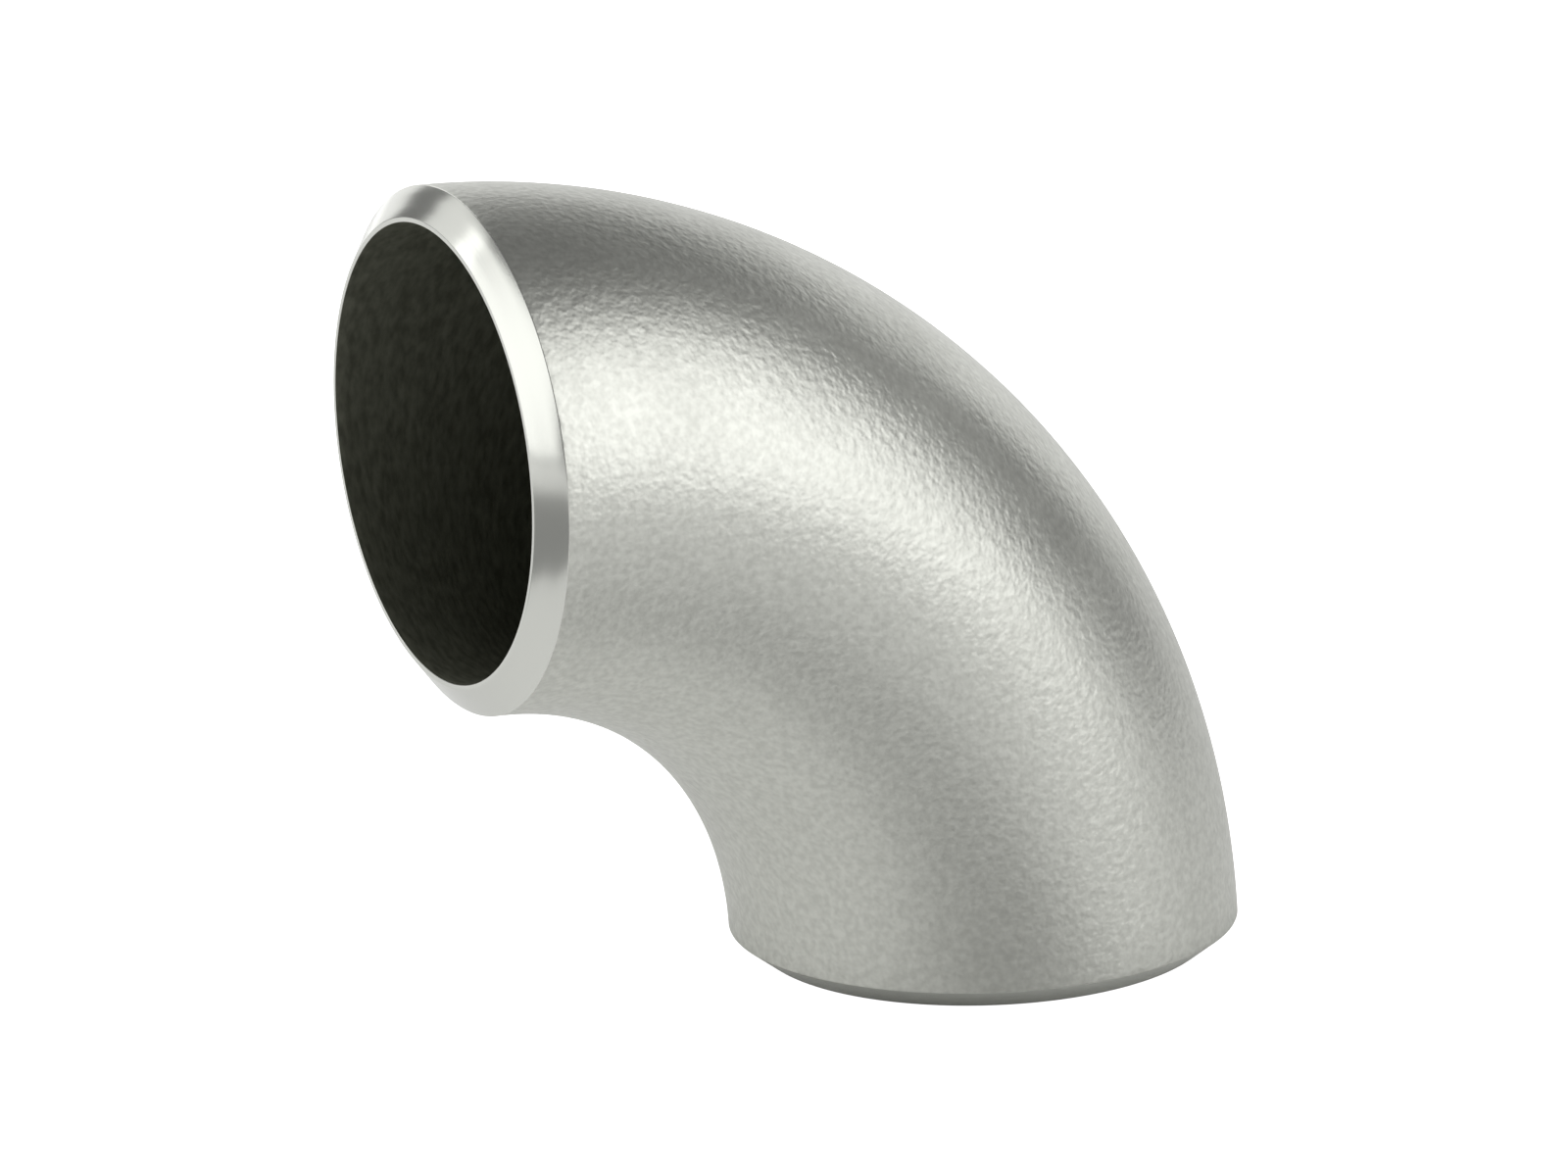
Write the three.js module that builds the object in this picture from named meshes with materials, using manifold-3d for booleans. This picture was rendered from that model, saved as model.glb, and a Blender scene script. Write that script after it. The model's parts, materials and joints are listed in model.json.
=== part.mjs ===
// Pipe elbow for butt welding: 90 degrees, long radius, seamless stainless steel.
//
// The real fitting is one length of pipe that is pushed hot over a curved mandrel, cut square
// and machined at both ends, so it is one solid here too. Units are millimetres and +Z is up.
// The elbow stands on its lower end face. Its passage rises from there, bends, and leaves
// through the upper end, which faces -X. The origin is on the floor, under the middle of the
// elbow's bounding box.

import * as THREE from 'three';
import { mergeVertices } from 'three/addons/utils/BufferGeometryUtils.js';
import Module from 'manifold-3d';

// Driving dimensions: nominal pipe size 1 1/4, schedule 10S, with welding bevels.
const OUTSIDE_DIAMETER = 42.2;
const WALL = 2.77;
const CENTRE_TO_END = 48; // also the bend radius, since the ends have no straight lengths
const BEVEL_ANGLE = THREE.MathUtils.degToRad(37.5); // measured from the plane of the end face
const ROOT_FACE = 0.4; // flat ring that is left at the bore when the bevel is cut
const MID_BEND_FLATTENING = 0.02; // share that the section loses across the bend at 45 degrees

// Fineness of the faceted solid.
const STEPS_ROUND = 60;
const STEPS_ALONG = 24;

// Dimensions that follow from those above.
const OUTSIDE_RADIUS = OUTSIDE_DIAMETER / 2;
const BORE_RADIUS = OUTSIDE_RADIUS - WALL;
const BEND = Math.PI / 2;
const STEP_LENGTH = (CENTRE_TO_END * BEND) / STEPS_ALONG;
const BEVEL_DEPTH = (WALL - ROOT_FACE) * Math.tan(BEVEL_ANGLE);
const CUTTER_MARGIN = 2; // how far each cutter stands clear of the metal that it leaves
const BEND_CENTRE_X = -(CENTRE_TO_END + OUTSIDE_RADIUS) / 2; // puts the box over the origin

const STEEL = new THREE.MeshStandardMaterial({
  name: 'stainless steel, pickled',
  color: 0xb3b4ad,
  roughness: 0.45,
  metalness: 1,
});

/**
 * Centre line of the elbow about the bend centre, by arc length, from the lower end up.
 * A lead is a straight run of that many steps past each end face.
 */
class CentreLine extends THREE.Curve {
  constructor(leadSteps) {
    super();
    this.lead = leadSteps * STEP_LENGTH;
    this.length = CENTRE_TO_END * BEND + 2 * this.lead;
  }

  // The parameter already runs evenly along the line.
  getUtoTmapping(u) {
    return u;
  }

  // Angle round the bend, and how far past the nearer end face, at the parameter.
  place(t) {
    const along = t * this.length - this.lead;
    const angle = THREE.MathUtils.clamp(along / CENTRE_TO_END, 0, BEND);
    return { angle, past: along - angle * CENTRE_TO_END };
  }

  getPoint(t, target = new THREE.Vector3()) {
    const { angle, past } = this.place(t);
    target.set(Math.cos(angle), 0, Math.sin(angle)).multiplyScalar(CENTRE_TO_END);
    return target.addScaledVector(this.getTangent(t), past);
  }

  getTangent(t, target = new THREE.Vector3()) {
    const { angle } = this.place(t);
    return target.set(-Math.sin(angle), 0, Math.cos(angle));
  }
}

/** Round section with its corners on the circle. */
function disc(radius) {
  const corner = (_, i) => {
    const turn = (2 * Math.PI * i) / STEPS_ROUND;
    return new THREE.Vector2(radius * Math.cos(turn), radius * Math.sin(turn));
  };
  return new THREE.Shape(Array.from({ length: STEPS_ROUND }, corner));
}

/** Narrows the section in the plane of the bend, most of all half-way round. */
function flatten(geometry) {
  const position = geometry.attributes.position;
  for (let i = 0; i < position.count; i += 1) {
    const x = position.getX(i);
    const z = position.getZ(i);
    const angle = Math.atan2(z, x);
    const inBend = angle > 0 && angle < BEND;
    const share = inBend ? MID_BEND_FLATTENING * Math.sin(2 * angle) : 0;
    const reach = Math.hypot(x, z);
    const scale = (reach - share * (reach - CENTRE_TO_END)) / reach;
    position.setX(i, x * scale);
    position.setZ(i, z * scale);
  }
  return geometry;
}

/** Round bar bent along the centre line. */
function bentBar(radius, leadSteps) {
  const geometry = new THREE.ExtrudeGeometry(disc(radius), {
    steps: STEPS_ALONG + 2 * leadSteps,
    extrudePath: new CentreLine(leadSteps),
  });
  return flatten(geometry);
}

/**
 * Ring that cuts the welding bevel of an end whose face is the plane Y = 0 and whose metal
 * lies above it. Its profile is a triangle under the cone from the root face to the outside.
 */
function bevelCutter() {
  const slope = BEVEL_DEPTH / (WALL - ROOT_FACE);
  const rootRadius = BORE_RADIUS + ROOT_FACE;
  const low = -CUTTER_MARGIN;
  const wide = OUTSIDE_RADIUS + CUTTER_MARGIN;
  const profile = [
    new THREE.Vector2(rootRadius + low / slope, low),
    new THREE.Vector2(wide, low),
    new THREE.Vector2(wide, (wide - rootRadius) * slope),
    new THREE.Vector2(rootRadius + low / slope, low),
  ];
  return new THREE.LatheGeometry(profile, STEPS_ROUND);
}

/** Lower end's bevel cutter: the end face is horizontal and the metal is above it. */
function lowerCutter() {
  const cutter = bevelCutter();
  cutter.rotateX(Math.PI / 2);
  return cutter.translate(CENTRE_TO_END, 0, 0);
}

/** Upper end's bevel cutter: the end face is vertical and the metal is on its +X side. */
function upperCutter() {
  const cutter = bevelCutter();
  cutter.rotateZ(-Math.PI / 2);
  return cutter.translate(0, 0, CENTRE_TO_END);
}

const wasm = await Module();
wasm.setup();

/** Solid for cutting, from a closed geometry. */
function toSolid(geometry) {
  const bare = geometry.clone();
  bare.deleteAttribute('normal');
  bare.deleteAttribute('uv');
  const merged = mergeVertices(bare);
  return new wasm.Manifold(new wasm.Mesh({
    numProp: 3,
    vertProperties: new Float32Array(merged.attributes.position.array),
    triVerts: new Uint32Array(merged.index.array),
  }));
}

/** Geometry from a solid, with flat faces between its facets. */
function toGeometry(solid) {
  const mesh = solid.getMesh();
  const geometry = new THREE.BufferGeometry();
  geometry.setAttribute('position', new THREE.BufferAttribute(mesh.vertProperties, 3));
  geometry.setIndex(new THREE.BufferAttribute(mesh.triVerts, 1));
  geometry.computeVertexNormals();
  return geometry;
}

/** The finished fitting: a bent bar, bored through and bevelled at both ends. */
function elbowBody() {
  const solid = toSolid(bentBar(OUTSIDE_RADIUS, 0))
    .subtract(toSolid(bentBar(BORE_RADIUS, 1)))
    .subtract(toSolid(lowerCutter()))
    .subtract(toSolid(upperCutter()));
  const mesh = new THREE.Mesh(toGeometry(solid), STEEL);
  mesh.name = 'elbow_body';
  return mesh;
}

const elbow = new THREE.Group();
elbow.name = 'pipe_elbow';
elbow.position.x = BEND_CENTRE_X;
elbow.add(elbowBody());

export default elbow;
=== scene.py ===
"""Pipe elbow for butt welding, in stainless steel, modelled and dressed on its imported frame.

The fitting is one seamless bend, so it is one piece here: an outer skin and a bore, each spun
from a circle, joined at both ends by a welding bevel and a narrow root face. The skin carries
the soft unevenness of hot-formed metal. All sizes are in metres.
"""

import json
import logging
import math
from dataclasses import dataclass
from enum import Enum

import bmesh
import bpy
import numpy as np
from mathutils import Matrix, Vector


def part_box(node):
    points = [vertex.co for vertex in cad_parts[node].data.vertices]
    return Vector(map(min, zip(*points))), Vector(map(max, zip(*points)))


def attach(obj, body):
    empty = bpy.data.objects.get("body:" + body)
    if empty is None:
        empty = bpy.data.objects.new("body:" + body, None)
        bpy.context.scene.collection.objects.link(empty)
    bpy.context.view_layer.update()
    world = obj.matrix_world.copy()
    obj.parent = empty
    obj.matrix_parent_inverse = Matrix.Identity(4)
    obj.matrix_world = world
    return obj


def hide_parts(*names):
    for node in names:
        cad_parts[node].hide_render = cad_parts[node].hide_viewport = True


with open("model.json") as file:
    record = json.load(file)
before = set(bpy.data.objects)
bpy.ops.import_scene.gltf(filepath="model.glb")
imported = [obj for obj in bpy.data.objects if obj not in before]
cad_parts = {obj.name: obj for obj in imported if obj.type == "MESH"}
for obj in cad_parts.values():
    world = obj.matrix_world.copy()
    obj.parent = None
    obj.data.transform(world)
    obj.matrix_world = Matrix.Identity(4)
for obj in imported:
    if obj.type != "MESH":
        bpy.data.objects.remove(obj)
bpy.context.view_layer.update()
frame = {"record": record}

MM = 0.001
QUARTER_TURN = math.pi / 2
CLOSE = 0.02 * MM
NOISE_LOW = 0.3  # Nearly all of a noise field lies between these two values.
NOISE_HIGH = 0.7
log = logging.getLogger("elbow")

Colour = tuple[float, float, float]


class End(Enum):
    """The two open ends of the elbow."""

    LOWER = "lower_weld_end"
    UPPER = "upper_weld_end"


class Finish(Enum):
    """Surface finishes, in the order of the piece's material slots."""

    SKIN = 0
    BEVEL = 1
    BORE = 2


class Graph:
    """A material's or world's node tree, with short ways to add and join nodes."""

    def __init__(self, tree: bpy.types.NodeTree) -> None:
        """Starts from an empty tree.

        Args:
            tree: The node tree to fill.
        """
        self.tree = tree
        tree.nodes.clear()

    def node(self, kind: str, **settings: object) -> bpy.types.Node:
        """Adds a node.

        Args:
            kind: The node's class, such as ShaderNodeBump.
            settings: Values for the node's own properties.

        Returns:
            The new node.
        """
        made = self.tree.nodes.new(kind)
        for name, value in settings.items():
            setattr(made, name, value)
        return made

    def join(self, source: bpy.types.NodeSocket, target: bpy.types.NodeSocket) -> None:
        """Links an output to an input."""
        self.tree.links.new(source, target)

    def noise(
        self, place: bpy.types.NodeSocket, size: float, detail: float = 2.0, roughness: float = 0.5
    ) -> bpy.types.NodeSocket:
        """Adds a noise field.

        Args:
            place: Where the field is read.
            size: Width of one feature, in metres.
            detail: Octaves below the first.
            roughness: How strong each finer octave is.

        Returns:
            The field's value, from 0 to 1.
        """
        made = self.node("ShaderNodeTexNoise")
        made.inputs["Scale"].default_value = 1 / size
        made.inputs["Detail"].default_value = detail
        made.inputs["Roughness"].default_value = roughness
        self.join(place, made.inputs["Vector"])
        return made.outputs["Fac"]

    def remap(
        self, value: bpy.types.NodeSocket, low: float, high: float, to_low: float, to_high: float
    ) -> bpy.types.NodeSocket:
        """Stretches a value's range, clamped at both ends.

        Args:
            value: The value to stretch.
            low: Input that gives to_low.
            high: Input that gives to_high.
            to_low: Output at low.
            to_high: Output at high.

        Returns:
            The stretched value.
        """
        made = self.node("ShaderNodeMapRange")
        for name, number in (
            ("From Min", low),
            ("From Max", high),
            ("To Min", to_low),
            ("To Max", to_high),
        ):
            made.inputs[name].default_value = number
        self.join(value, made.inputs["Value"])
        return made.outputs["Result"]

    def blend(
        self, share: bpy.types.NodeSocket, first: Colour, second: Colour
    ) -> bpy.types.NodeSocket:
        """Mixes two colours.

        Args:
            share: 0 for the first colour and 1 for the second.
            first: Linear red, green and blue.
            second: Linear red, green and blue.

        Returns:
            The mixed colour.
        """
        made = self.node("ShaderNodeMix", data_type="RGBA")
        self.join(share, made.inputs["Factor"])
        made.inputs["A"].default_value = (*first, 1)
        made.inputs["B"].default_value = (*second, 1)
        return made.outputs["Result"]

    def bump(
        self,
        height: bpy.types.NodeSocket,
        depth: float,
        under: bpy.types.NodeSocket | None = None,
    ) -> bpy.types.NodeSocket:
        """Adds a relief.

        Args:
            height: The relief, from 0 to 1.
            depth: What 1 stands for, in metres.
            under: The normal that this relief is laid on.

        Returns:
            The new normal.
        """
        made = self.node("ShaderNodeBump")
        made.inputs["Distance"].default_value = depth
        self.join(height, made.inputs["Height"])
        if under is not None:
            self.join(under, made.inputs["Normal"])
        return made.outputs["Normal"]


@dataclass(frozen=True)
class BlastedSkin:
    """Blasted and pickled outside: a soft matte grey with a fine orange-peel grain."""

    name: str = "blasted_steel"
    light: Colour = (0.612, 0.62, 0.576)
    dull: Colour = (0.515, 0.522, 0.483)
    smooth: float = 0.37
    rough: float = 0.43
    grain: float = 0.65 * MM
    grain_depth: float = 0.06 * MM
    pitting: float = 0.6 * MM
    pitting_depth: float = 0.012 * MM
    mottle: float = 9 * MM

    def material(self) -> bpy.types.Material:
        """Makes the finish.

        Returns:
            The material.
        """
        made = bpy.data.materials.new(self.name)
        made.use_nodes = True
        graph = Graph(made.node_tree)
        place = graph.node("ShaderNodeTexCoord").outputs["Object"]
        steel = graph.node("ShaderNodeBsdfPrincipled")
        steel.inputs["Metallic"].default_value = 1.0
        grain = graph.noise(place, self.grain, detail=1)
        pits = graph.noise(place, self.pitting, detail=1)
        mottle = graph.noise(place, self.mottle, detail=4)
        colour = graph.blend(graph.remap(pits, NOISE_LOW, NOISE_HIGH, 0, 1), self.dull, self.light)
        graph.join(colour, steel.inputs["Base Color"])
        rough = graph.remap(mottle, NOISE_LOW, NOISE_HIGH, self.rough, self.smooth)
        graph.join(rough, steel.inputs["Roughness"])
        peel = graph.bump(grain, self.grain_depth)
        graph.join(graph.bump(pits, self.pitting_depth, peel), steel.inputs["Normal"])
        output = graph.node("ShaderNodeOutputMaterial")
        graph.join(steel.outputs["BSDF"], output.inputs["Surface"])
        return made


@dataclass(frozen=True)
class TurnedBevel:
    """Bright lathe-turned metal, with fine rings round the end's axis."""

    name: str = "turned_steel"
    colour: Colour = (0.68, 0.689, 0.645)
    roughness: float = 0.2
    stretch: float = 0.6
    ring: float = 0.11 * MM
    ring_depth: float = 0.002 * MM

    def material(self) -> bpy.types.Material:
        """Makes the finish.

        Returns:
            The material.
        """
        made = bpy.data.materials.new(self.name)
        made.use_nodes = True
        graph = Graph(made.node_tree)
        pipe = graph.node("ShaderNodeAttribute", attribute_name=ElbowBody.PIPE_PLACE)
        steel = graph.node("ShaderNodeBsdfPrincipled")
        steel.inputs["Metallic"].default_value = 1.0
        steel.inputs["Base Color"].default_value = (*self.colour, 1)
        steel.inputs["Roughness"].default_value = self.roughness
        steel.inputs["Anisotropic"].default_value = self.stretch
        slope = graph.node("ShaderNodeAttribute", attribute_name=ElbowBody.UP_THE_BEVEL)
        graph.join(slope.outputs["Vector"], steel.inputs["Tangent"])
        across = graph.node("ShaderNodeVectorMath", operation="MULTIPLY")
        across.inputs[1].default_value = (1, 1, 0)
        graph.join(pipe.outputs["Vector"], across.inputs[0])
        radius = graph.node("ShaderNodeVectorMath", operation="LENGTH")
        graph.join(across.outputs["Vector"], radius.inputs[0])
        rings = graph.noise(radius.outputs["Value"], self.ring, detail=1)
        graph.join(graph.bump(rings, self.ring_depth), steel.inputs["Normal"])
        output = graph.node("ShaderNodeOutputMaterial")
        graph.join(steel.outputs["BSDF"], output.inputs["Surface"])
        return made


@dataclass(frozen=True)
class ScaledBore:
    """Dark oxide inside the bend, in short streaks round it, darkened further as painted shade
    inside the bore.
    """

    name: str = "scaled_bore"
    # The dark and worn colours are part oxide, part painted shade: darker than the oxide alone, to
    # stand in for the shade inside the bore.
    dark: Colour = (0.118, 0.122, 0.09)
    worn: Colour = (0.215, 0.221, 0.172)
    roughness: float = 0.6
    streak: float = 0.6 * MM
    streak_depth: float = 0.015 * MM
    drawn_out: float = 0.4
    worn_from: float = 0.33
    metallic: float = 0.6

    def material(self) -> bpy.types.Material:
        """Makes the finish.

        Returns:
            The material.
        """
        made = bpy.data.materials.new(self.name)
        made.use_nodes = True
        graph = Graph(made.node_tree)
        pipe = graph.node("ShaderNodeAttribute", attribute_name=ElbowBody.PIPE_PLACE)
        steel = graph.node("ShaderNodeBsdfPrincipled")
        steel.inputs["Metallic"].default_value = self.metallic
        steel.inputs["Roughness"].default_value = self.roughness
        drawn = graph.node("ShaderNodeMapping")
        drawn.inputs["Scale"].default_value = (self.drawn_out, self.drawn_out, 1)
        graph.join(pipe.outputs["Vector"], drawn.inputs["Vector"])
        streaks = graph.noise(drawn.outputs["Vector"], self.streak, detail=3)
        wear = graph.remap(streaks, self.worn_from, NOISE_HIGH, 0, 1)
        colour = graph.blend(wear, self.dark, self.worn)
        graph.join(colour, steel.inputs["Base Color"])
        graph.join(graph.bump(streaks, self.streak_depth), steel.inputs["Normal"])
        output = graph.node("ShaderNodeOutputMaterial")
        graph.join(steel.outputs["BSDF"], output.inputs["Surface"])
        return made


@dataclass
class ElbowBody:
    """The whole fitting: skin, bore, bevels and root faces in one closed mesh."""

    outside_diameter: float
    centre_to_end: float
    bend_x: float
    wall: float = 2.77 * MM
    root_face: float = 0.4 * MM
    bevel_angle: float = math.radians(37.5)
    mid_bend_flattening: float = 0.02
    edge_break: float = 0.05 * MM
    edge_steps: int = 3
    sharp_edge: float = math.radians(25)
    flat_face_weight: int = 80
    trim_rounds: int = 8
    dent: float = 0.02 * MM
    dent_width: float = 7 * MM
    dent_margin: float = 4 * MM
    around: int = 320
    along_skin: int = 180
    along_bore: int = 64
    bevel_rings: int = 3

    PIPE_PLACE = "pipe_place"
    UP_THE_BEVEL = "up_the_bevel"

    @property
    def outside_radius(self) -> float:
        """Radius of the skin at the ends."""
        return self.outside_diameter / 2

    @property
    def bore_radius(self) -> float:
        """Radius of the bore."""
        return self.outside_radius - self.wall

    @property
    def root_radius(self) -> float:
        """Radius of the edge between root face and bevel."""
        return self.bore_radius + self.root_face

    def build(self) -> bpy.types.Object:
        """Makes the piece.

        Returns:
            The finished object, at the origin.
        """
        piece = self.spin_tube(self.outside_radius, self.along_skin)
        piece.name = "elbow"
        piece.data.name = "elbow"
        self.shape_skin(piece)
        self.dent_skin(piece)
        bore = self.spin_tube(self.bore_radius, self.along_bore)
        self.shape_bore(bore)
        select_only(piece, bore)
        bpy.ops.object.join()
        for end in End:
            self.cut_root_face(piece, end)
            self.bridge_bevel(piece, end)
        self.break_edges(piece)
        self.record_places(piece)
        self.assign_finishes(piece)
        self.smooth(piece)
        return piece

    def spin_tube(self, radius: float, steps: int) -> bpy.types.Object:
        """Spins a circle round the bend.

        Args:
            radius: Radius of the circle.
            steps: Rings along the quarter turn.

        Returns:
            The open tube.
        """
        select_only()
        bpy.ops.mesh.primitive_circle_add(
            vertices=self.around,
            radius=radius,
            fill_type="NOTHING",
            location=(self.bend_x + self.centre_to_end, 0, 0),
        )
        tube = bpy.context.object
        bpy.ops.object.transform_apply(location=True)
        bpy.ops.object.mode_set(mode="EDIT")
        bpy.ops.mesh.select_all(action="SELECT")
        bpy.ops.mesh.spin(
            steps=steps, angle=QUARTER_TURN, center=(self.bend_x, 0, 0), axis=(0, 1, 0)
        )
        bpy.ops.object.mode_set(mode="OBJECT")
        return tube

    def polar(self, points: np.ndarray) -> tuple[np.ndarray, np.ndarray]:
        """Angle round the bend and distance from its axis.

        Args:
            points: Positions, one row each.

        Returns:
            The angles, from the lower end, and the distances.
        """
        x = points[:, 0] - self.bend_x
        return np.arctan2(points[:, 2], x), np.hypot(x, points[:, 2])

    def placed(self, angle: np.ndarray, reach: np.ndarray, y: np.ndarray) -> np.ndarray:
        """Positions from angle round the bend and distance from its axis.

        Args:
            angle: Angles from the lower end.
            reach: Distances from the bend's axis.
            y: Offsets across the bend.

        Returns:
            One position a row.
        """
        x = self.bend_x + reach * np.cos(angle)
        return np.stack([x, y, reach * np.sin(angle)], axis=1)

    def narrowed(self, angle: np.ndarray, reach: np.ndarray) -> np.ndarray:
        """Distances once the section is narrowed in the plane of the bend.

        Args:
            angle: Angles from the lower end.
            reach: Distances from the bend's axis on the round section.

        Returns:
            The distances, changed most half-way round and not at all at the ends.
        """
        share = self.mid_bend_flattening * np.sin(2 * np.clip(angle, 0, QUARTER_TURN))
        return reach - share * (reach - self.centre_to_end)

    def shape_bore(self, piece: bpy.types.Object) -> None:
        """Narrows the bore as the bend does.

        Args:
            piece: The bore.
        """
        points = read_points(piece)
        angle, reach = self.polar(points)
        write_points(piece, self.placed(angle, self.narrowed(angle, reach), points[:, 1]))

    def shape_skin(self, piece: bpy.types.Object) -> None:
        """Narrows the skin, and slides its rings so that each end stops at its bevel's cone.

        Args:
            piece: The skin.
        """
        points = read_points(piece)
        angle, reach = self.polar(points)
        slope = math.tan(self.bevel_angle)
        trim = np.zeros(len(points))
        for _ in range(self.trim_rounds):
            narrow = self.narrowed(trim, reach)
            radius = np.hypot(narrow * np.cos(trim) - self.centre_to_end, points[:, 1])
            trim = np.arcsin((radius - self.root_radius) * slope / narrow)
        angle = trim + angle * (1 - 2 * trim / QUARTER_TURN)
        write_points(piece, self.placed(angle, self.narrowed(angle, reach), points[:, 1]))

    def dent_skin(self, piece: bpy.types.Object) -> None:
        """Gives the skin the shallow hollows and rises of hot-formed metal.

        Args:
            piece: The skin.
        """
        field = bpy.data.textures.new("forming_marks", "CLOUDS")
        field.noise_scale = self.dent_width
        field.noise_depth = 2
        select_only(piece)
        bpy.ops.object.modifier_add(type="DISPLACE")
        displace = piece.modifiers[-1]
        displace.texture = field
        displace.texture_coords = "LOCAL"
        displace.strength = self.dent
        displace.mid_level = 0.5
        displace.vertex_group = self.mark_middle(piece)
        bpy.ops.object.modifier_apply(modifier=displace.name)
        piece.vertex_groups.clear()

    def mark_middle(self, piece: bpy.types.Object) -> str:
        """Weights the skin from 0 at its machined ends to 1 past the dent margin.

        Args:
            piece: The skin.

        Returns:
            The name of the vertex group that holds the weights.
        """
        group = piece.vertex_groups.new(name="middle")
        angle, _ = self.polar(read_points(piece))
        from_end = np.minimum(angle, QUARTER_TURN - angle) * self.centre_to_end - self.wall
        for index, share in enumerate(np.clip(from_end / self.dent_margin, 0, 1)):
            group.add([index], share * share * (3 - 2 * share), "REPLACE")
        return group.name

    def end_frame(self, end: End) -> tuple[Vector, Vector]:
        """Finds an end of the elbow.

        Args:
            end: The end to look at.

        Returns:
            The centre of its face, and the direction out of it.
        """
        if end is End.LOWER:
            return Vector((self.bend_x + self.centre_to_end, 0, 0)), Vector((0, 0, -1))
        return Vector((self.bend_x, 0, self.centre_to_end)), Vector((-1, 0, 0))

    def select_rim(self, piece: bpy.types.Object, end: End, low: float, high: float) -> None:
        """Selects the open edges of an end whose corners lie between two radii.

        Args:
            piece: The piece, in edit mode.
            end: The end to look at.
            low: Least distance from the end's axis.
            high: Greatest distance from the end's axis.
        """
        centre, out = self.end_frame(end)
        net = bmesh.from_edit_mesh(piece.data)
        for vert in net.verts:
            vert.select = False
        net.select_flush(False)
        for edge in net.edges:
            if not edge.is_boundary:
                continue
            middle = (edge.verts[0].co + edge.verts[1].co) / 2 - centre
            depth = middle.dot(out)
            radius = (middle - out * depth).length
            if depth > -self.wall and low < radius < high:
                edge.select = True
        bmesh.update_edit_mesh(piece.data)

    def cut_root_face(self, piece: bpy.types.Object, end: End) -> None:
        """Widens the bore's rim into the flat root face.

        Args:
            piece: The skin and bore, joined in one object.
            end: The end to work on.
        """
        centre, out = self.end_frame(end)
        growth = self.root_radius / self.bore_radius
        scale = [1.0 if abs(component) > 0.5 else growth for component in out]
        edit_edges(piece)
        self.select_rim(piece, end, 0, self.bore_radius + self.root_face / 2)
        bpy.ops.mesh.extrude_edges_move()
        bpy.ops.transform.resize(value=scale, center_override=centre)
        bpy.ops.object.mode_set(mode="OBJECT")

    def bridge_bevel(self, piece: bpy.types.Object, end: End) -> None:
        """Closes the gap between root face and skin with the bevel's cone.

        Args:
            piece: The skin and bore, with the root face cut.
            end: The end to work on.
        """
        edit_edges(piece)
        self.select_rim(piece, end, self.bore_radius, self.outside_diameter)
        bpy.ops.mesh.bridge_edge_loops(number_cuts=self.bevel_rings - 1, interpolation="LINEAR")
        bpy.ops.object.mode_set(mode="OBJECT")

    def break_edges(self, piece: bpy.types.Object) -> None:
        """Takes the sharpness off the turned edges.

        Args:
            piece: The closed piece.
        """
        edit_edges(piece)
        bpy.ops.mesh.select_all(action="SELECT")
        bpy.ops.mesh.normals_make_consistent(inside=False)
        bpy.ops.mesh.select_all(action="DESELECT")
        bpy.ops.mesh.edges_select_sharp(sharpness=self.sharp_edge)
        bpy.ops.mesh.bevel(offset=self.edge_break, segments=self.edge_steps, affect="EDGES")
        bpy.ops.object.mode_set(mode="OBJECT")

    def smooth(self, piece: bpy.types.Object) -> None:
        """Shades the piece smooth, with the broad faces flat up to their broken edges.

        Args:
            piece: The closed piece.
        """
        select_only(piece)
        bpy.ops.object.shade_smooth()
        bpy.ops.object.modifier_add(type="WEIGHTED_NORMAL")
        weighted = piece.modifiers[-1]
        weighted.mode = "FACE_AREA"
        weighted.weight = self.flat_face_weight
        bpy.ops.object.modifier_apply(modifier=weighted.name)

    def record_places(self, piece: bpy.types.Object) -> None:
        """Stores where each point lies on the straightened pipe, and the way up its bevel.

        Args:
            piece: The closed piece.
        """
        points = read_points(piece)
        angle, reach = self.polar(points)
        off = reach - self.centre_to_end
        along = angle * self.centre_to_end
        store(piece, self.PIPE_PLACE, np.stack([off, points[:, 1], along], axis=1))
        near_upper = (angle > QUARTER_TURN / 2)[:, None]
        lower, out_lower = (np.array(part) for part in self.end_frame(End.LOWER))
        upper, out_upper = (np.array(part) for part in self.end_frame(End.UPPER))
        outward = np.where(near_upper, out_upper, out_lower)
        spoke = points - np.where(near_upper, upper, lower)
        spoke -= outward * np.sum(spoke * outward, axis=1)[:, None]
        spoke /= np.maximum(np.linalg.norm(spoke, axis=1), MM)[:, None]
        slope = spoke * math.cos(self.bevel_angle) - outward * math.sin(self.bevel_angle)
        store(piece, self.UP_THE_BEVEL, slope)

    def assign_finishes(self, piece: bpy.types.Object) -> None:
        """Gives each face its finish, by where it lies.

        Args:
            piece: The closed piece.
        """
        for finish in (BlastedSkin(), TurnedBevel(), ScaledBore()):
            piece.data.materials.append(finish.material())
        faces = piece.data.polygons
        centres = np.empty(len(faces) * 3)
        faces.foreach_get("center", centres)
        centres = centres.reshape(-1, 3)
        angle, reach = self.polar(centres)
        radius = np.hypot(reach - self.centre_to_end, centres[:, 1])
        finish = np.full(len(faces), Finish.SKIN.value)
        finish[radius < self.bore_radius + self.root_face / 4] = Finish.BORE.value
        for end in End:
            centre, out = self.end_frame(end)
            rel = centres - np.array(centre)
            depth = -(rel @ np.array(out))
            from_axis = np.linalg.norm(rel + depth[:, None] * np.array(out), axis=1)
            cone = (from_axis - self.root_radius) * math.tan(self.bevel_angle)
            turned = (depth < self.wall) & (depth < cone + CLOSE) & (depth > -MM)
            root = (depth < CLOSE) & (depth > -MM)
            finish[turned | root] = Finish.BEVEL.value
        faces.foreach_set("material_index", finish.astype(np.int32))
        piece.data.update()


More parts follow.
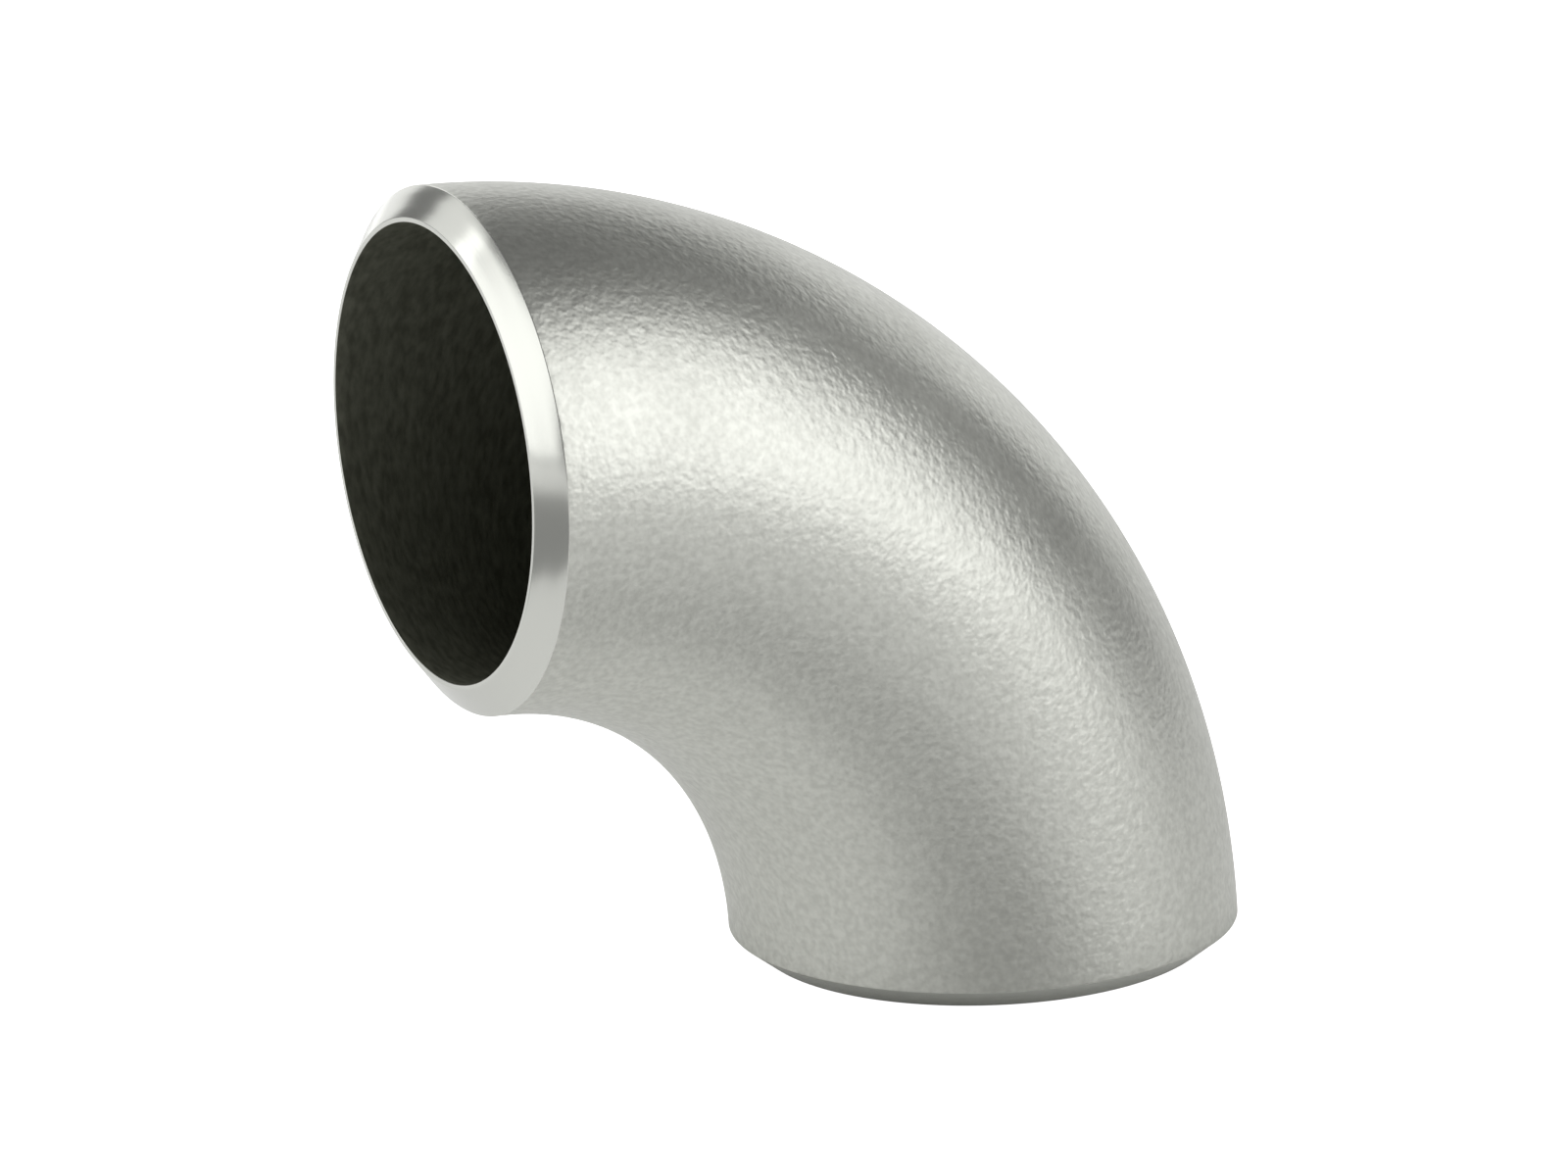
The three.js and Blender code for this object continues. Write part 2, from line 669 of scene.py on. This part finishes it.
def select_only(*objects: bpy.types.Object) -> None:
    """Selects these objects and nothing else, and makes the first one active.

    Args:
        objects: The objects to select, or none.
    """
    bpy.ops.object.select_all(action="DESELECT")
    for one in objects:
        one.select_set(True)
    if objects:
        bpy.context.view_layer.objects.active = objects[0]


def edit_edges(piece: bpy.types.Object) -> None:
    """Opens a piece in edit mode with edges selectable.

    Args:
        piece: The piece to edit.
    """
    select_only(piece)
    bpy.ops.object.mode_set(mode="EDIT")
    bpy.ops.mesh.select_mode(type="EDGE")


def read_points(piece: bpy.types.Object) -> np.ndarray:
    """Reads the places of a piece's corners.

    Args:
        piece: The piece to read.

    Returns:
        One position a row.
    """
    flat = np.empty(len(piece.data.vertices) * 3)
    piece.data.vertices.foreach_get("co", flat)
    return flat.reshape(-1, 3)


def write_points(piece: bpy.types.Object, points: np.ndarray) -> None:
    """Moves the piece's corners to these places."""
    piece.data.vertices.foreach_set("co", points.ravel())
    piece.data.update()


def store(piece: bpy.types.Object, name: str, vectors: np.ndarray) -> None:
    """Stores a vector for each corner, for the materials to read."""
    field = piece.data.attributes.new(name, "FLOAT_VECTOR", "POINT")
    field.data.foreach_set("vector", vectors.astype(np.float32).ravel())


@dataclass
class Softbox:
    """A rectangular studio light that faces the fitting."""

    name: str
    azimuth: float
    elevation: float
    width: float
    height: float
    radiance: float
    distance: float = 0.6

    def build(self, target: Vector) -> None:
        """Places the light.

        Args:
            target: The point that it faces.
        """
        light = bpy.data.lights.new(self.name, "AREA")
        light.shape = "RECTANGLE"
        light.size = self.width
        light.size_y = self.height
        light.energy = self.radiance * math.pi * self.width * self.height
        lamp = bpy.data.objects.new(self.name, light)
        bpy.context.collection.objects.link(lamp)
        back = direction(self.azimuth, self.elevation)
        lamp.location = target + back * self.distance
        lamp.rotation_mode = "QUATERNION"
        lamp.rotation_quaternion = back.to_track_quat("Z", "Y")
        lamp.visible_camera = False


def direction(azimuth: float, elevation: float) -> Vector:
    """Turns two angles into a direction away from the fitting.

    Args:
        azimuth: Degrees round, 0 towards -Y and 90 towards +X.
        elevation: Degrees up.

    Returns:
        A unit vector.
    """
    turn, rise = math.radians(azimuth), math.radians(elevation)
    flat = math.cos(rise)
    return Vector((math.sin(turn) * flat, -math.cos(turn) * flat, math.sin(rise)))


@dataclass
class Studio:
    """Light table, grey card, softboxes, dim room and camera.

    The camera sees the table evenly white. Reflections see it glow less, and not at all under
    the fitting's foot or in a soft patch in front of it.
    """

    foot_x: float
    foot_radius: float
    floor_size: float = 12.0
    floor_glow: float = 0.32
    floor_glow_seen: float = 1.0
    floor_albedo: float = 0.8
    room: float = 0.18
    backdrop: float = 1.0
    foot_margin: float = 5 * MM
    shade_azimuth: float = -18
    shade_distance: float = 37 * MM
    shade_radius: float = 8 * MM
    shade_margin: float = 16 * MM
    card_place: tuple[float, float, float] = (-0.184, -0.03, 1 * MM)
    card_width: float = 0.17
    card_albedo: float = 0.5
    lights_aim: tuple[float, float, float] = (0, 0, 30 * MM)
    camera_azimuth: float = -26.84
    camera_elevation: float = 15.07
    camera_roll: float = -1.99
    camera_distance: float = 0.5896
    lens: float = 167.6
    aim: tuple[float, float, float] = (-3.9 * MM, 0.15 * MM, 32.4 * MM)

    def build(self) -> None:
        """Makes the whole studio."""
        self.floor()
        self.card()
        self.world()
        for light in self.lights():
            light.build(Vector(self.lights_aim))
        self.camera()

    def lights(self) -> list[Softbox]:
        """Lists the softboxes, from the right front round by the left to the right back.

        Returns:
            The softboxes, each with azimuth, elevation, width, height and radiance.
        """
        return [
            Softbox("key", 33, 25, 0.58, 0.66, 1.78),
            Softbox("left", -101, 18.5, 0.68, 0.41, 1.32),
            Softbox("rear_left", -140, 24, 0.27, 0.34, 0.8),
            Softbox("hair", 178, 42, 0.28, 0.4, 1.2),
            Softbox("back", 177, 12, 0.27, 0.3, 0.9),
            Softbox("back_right", 134, 16, 0.66, 0.36, 0.93),
        ]

    def floor(self) -> None:
        """A pale acrylic sheet, lit from below."""
        select_only()
        bpy.ops.mesh.primitive_plane_add(size=self.floor_size, location=(0, 0, 0))
        sheet = bpy.context.object
        sheet.name = "light_table"
        made = bpy.data.materials.new("white_acrylic")
        made.use_nodes = True
        graph = Graph(made.node_tree)
        acrylic = graph.node("ShaderNodeBsdfPrincipled")
        acrylic.inputs["Base Color"].default_value = (*[self.floor_albedo] * 3, 1)
        acrylic.inputs["Roughness"].default_value = 0.9
        acrylic.inputs["Specular IOR Level"].default_value = 0.0
        acrylic.inputs["Emission Color"].default_value = (1, 1, 1, 1)
        seen = graph.node("ShaderNodeMix", data_type="FLOAT")
        graph.join(graph.node("ShaderNodeLightPath").outputs["Is Camera Ray"], seen.inputs[0])
        graph.join(self.reflected_glow(graph), seen.inputs[2])
        seen.inputs[3].default_value = self.floor_glow_seen
        graph.join(seen.outputs[0], acrylic.inputs["Emission Strength"])
        output = graph.node("ShaderNodeOutputMaterial")
        graph.join(acrylic.outputs["BSDF"], output.inputs["Surface"])
        sheet.data.materials.append(made)

    def reflected_glow(self, graph: Graph) -> bpy.types.NodeSocket:
        """Fades the table's glow out under the foot and in a patch in front of it.

        Args:
            graph: The table's material.

        Returns:
            The strength of the glow that reflections see.
        """
        place = graph.node("ShaderNodeTexCoord").outputs["Object"]
        foot = Vector((self.foot_x, 0, 0))
        shade = foot + direction(self.shade_azimuth, 0) * self.shade_distance
        glow = graph.node("ShaderNodeMath", operation="MULTIPLY")
        for slot, centre, radius, margin, most in (
            (0, foot, self.foot_radius, self.foot_margin, 1.0),
            (1, shade, self.shade_radius, self.shade_margin, self.floor_glow),
        ):
            away = graph.node("ShaderNodeVectorMath", operation="DISTANCE")
            away.inputs[1].default_value = centre
            graph.join(place, away.inputs[0])
            part = graph.remap(away.outputs["Value"], radius, radius + margin, 0, most)
            graph.join(part, glow.inputs[slot])
        return glow.outputs["Value"]

    def card(self) -> None:
        """Lays a grey card on the table to the left, which only reflections see."""
        select_only()
        bpy.ops.mesh.primitive_plane_add(size=1, location=self.card_place)
        card = bpy.context.object
        card.name = "grey_card"
        card.scale = (self.card_width, self.card_width, 1)
        paper = bpy.data.materials.new("grey_paper")
        paper.use_nodes = True
        graph = Graph(paper.node_tree)
        matte = graph.node("ShaderNodeBsdfDiffuse")
        matte.inputs["Color"].default_value = (*[self.card_albedo] * 3, 1)
        output = graph.node("ShaderNodeOutputMaterial")
        graph.join(matte.outputs["BSDF"], output.inputs["Surface"])
        card.data.materials.append(paper)
        card.visible_camera = False

    def world(self) -> None:
        """A dim room, with a white backdrop where the camera looks past the table."""
        world = bpy.data.worlds.new("room")
        world.use_nodes = True
        graph = Graph(world.node_tree)
        seen = graph.node("ShaderNodeLightPath").outputs["Is Camera Ray"]
        shade = graph.node("ShaderNodeBackground")
        graph.join(graph.remap(seen, 0, 1, self.room, self.backdrop), shade.inputs["Strength"])
        shade.inputs["Color"].default_value = (1, 1, 1, 1)
        output = graph.node("ShaderNodeOutputWorld")
        graph.join(shade.outputs["Background"], output.inputs["Surface"])
        bpy.context.scene.world = world
        bpy.context.scene.view_settings.view_transform = "Standard"

    def camera(self) -> None:
        """A long lens, slightly above the fitting and to its left."""
        lens = bpy.data.cameras.new("camera")
        lens.lens = self.lens
        camera = bpy.data.objects.new("camera", lens)
        bpy.context.collection.objects.link(camera)
        back = direction(self.camera_azimuth, self.camera_elevation)
        level = Vector((0, 0, 1)).cross(back).normalized()
        rise = back.cross(level)
        turn = Matrix.Rotation(math.radians(self.camera_roll), 3, back)
        axes = Matrix((turn @ level, turn @ rise, back)).transposed()
        camera.matrix_world = Matrix.Translation(
            Vector(self.aim) + back * self.camera_distance
        ) @ axes.to_4x4()
        bpy.context.scene.camera = camera


def mount_place(name: str) -> Vector:
    """Stated point of one of the record's mounts."""
    found = next(mount for mount in frame["record"]["mounts"] if mount["name"] == name)
    return Vector(found["pos_m"])


def main() -> None:
    """Builds the fitting and its studio."""
    logging.basicConfig(level=logging.INFO, format="%(name)s: %(message)s")
    low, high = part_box("elbow_body")
    upper = mount_place(End.UPPER.value)
    foot_x = mount_place(End.LOWER.value).x
    Studio(foot_x=foot_x, foot_radius=high[1]).build()
    log.info("studio ready")
    body = ElbowBody(
        outside_diameter=high[1] - low[1],
        centre_to_end=upper.z,
        bend_x=upper.x,
    )
    elbow = body.build()
    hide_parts("elbow_body")
    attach(elbow, "root")
    log.info("%s: %d faces", elbow.name, len(elbow.data.polygons))


if __name__ == "__main__":
    main()
